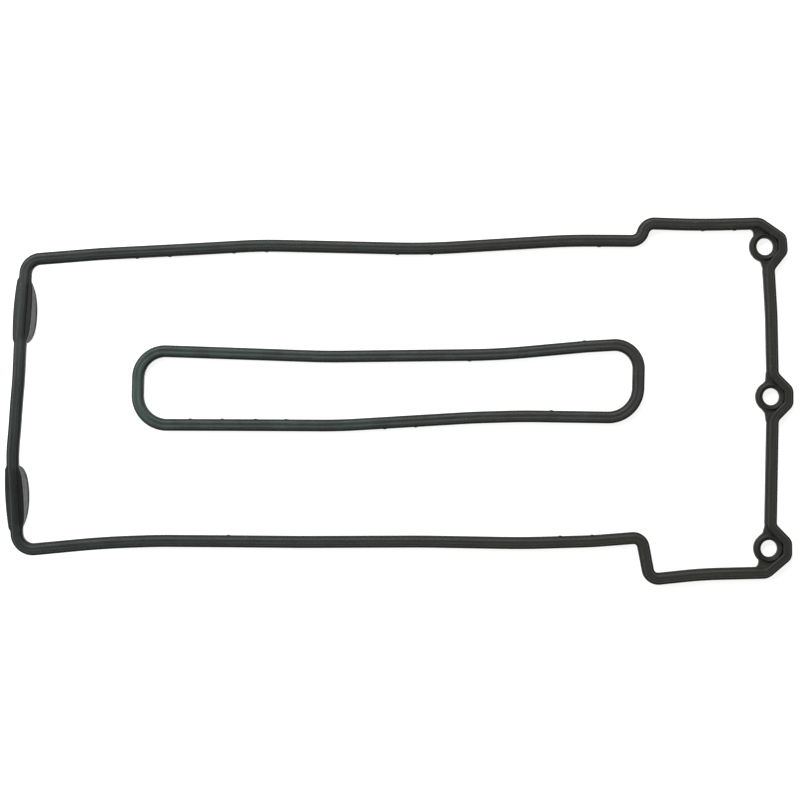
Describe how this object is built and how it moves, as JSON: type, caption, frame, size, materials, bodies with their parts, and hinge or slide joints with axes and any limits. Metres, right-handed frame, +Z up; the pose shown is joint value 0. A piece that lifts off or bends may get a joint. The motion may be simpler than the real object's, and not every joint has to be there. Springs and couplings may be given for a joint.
{
  "type": "valve cover gasket",
  "caption": "Moulded rubber valve cover gasket: an outer perimeter loop with bolt eyes and half-moon plugs, and an inner loop round the spark plug wells.",
  "frame": {"origin": "on the surface that the gasket lies on, under the middle of the outer loop's bounding box", "axes": "+X along the cover, from the half-moon plugs towards the three bolt eyes; +Y across the cover, towards its long edge that the inner loop lies nearer to; +Z up, from the sealing side towards the bead that sits in the cover"},
  "size_m": [0.5484, 0.2569, 0.0363],
  "materials": {
    "outer_gasket_rubber": "moulded, satin",
    "inner_gasket_rubber": "moulded, satin, a little dusty"
  },
  "bodies": {
    "root": {"outer_gasket": "outer_gasket_rubber", "inner_gasket": "inner_gasket_rubber"}
  },
  "joints": []
}
